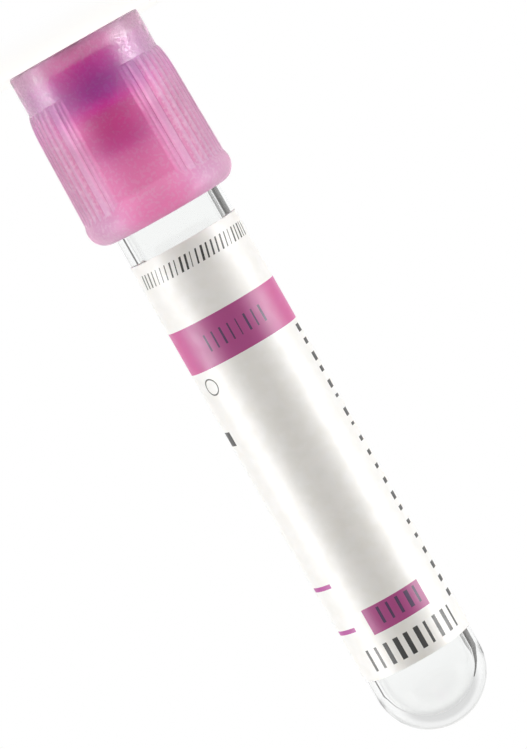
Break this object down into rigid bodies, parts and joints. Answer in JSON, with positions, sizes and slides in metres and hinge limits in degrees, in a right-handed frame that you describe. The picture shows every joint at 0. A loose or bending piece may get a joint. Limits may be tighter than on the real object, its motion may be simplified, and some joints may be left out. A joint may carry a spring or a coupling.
{
  "type": "blood collection tube",
  "caption": "Evacuated blood collection tube: round-bottomed clear tube with a wrapped label and a rubber stopper held in a ribbed translucent safety cap that pulls off.",
  "frame": {"origin": "centre of the flat top of the cap, which the part stands on", "axes": "+Z along the tube, from the cap's top to the round end; -Y through the middle of one plain panel of the cap and the middle of the label's front"},
  "size_m": [0.017, 0.017, 0.0826],
  "materials": {
    "frosted_plastic": "frosted translucent pink moulding",
    "stopper_rubber": "matt moulded rubber",
    "clear_glass": "clear, polished",
    "label_paper": "coated white paper with a magenta band and a magenta field"
  },
  "bodies": {
    "closure": {"cap": "frosted_plastic", "stopper": "stopper_rubber"},
    "vessel": {"tube": "clear_glass", "label": "label_paper"}
  },
  "joints": [
    {"name": "closure_pull", "type": "slide", "parent": "closure", "child": "vessel", "axis": [0, 0, 1], "range_m": [0, 0.02]}
  ]
}
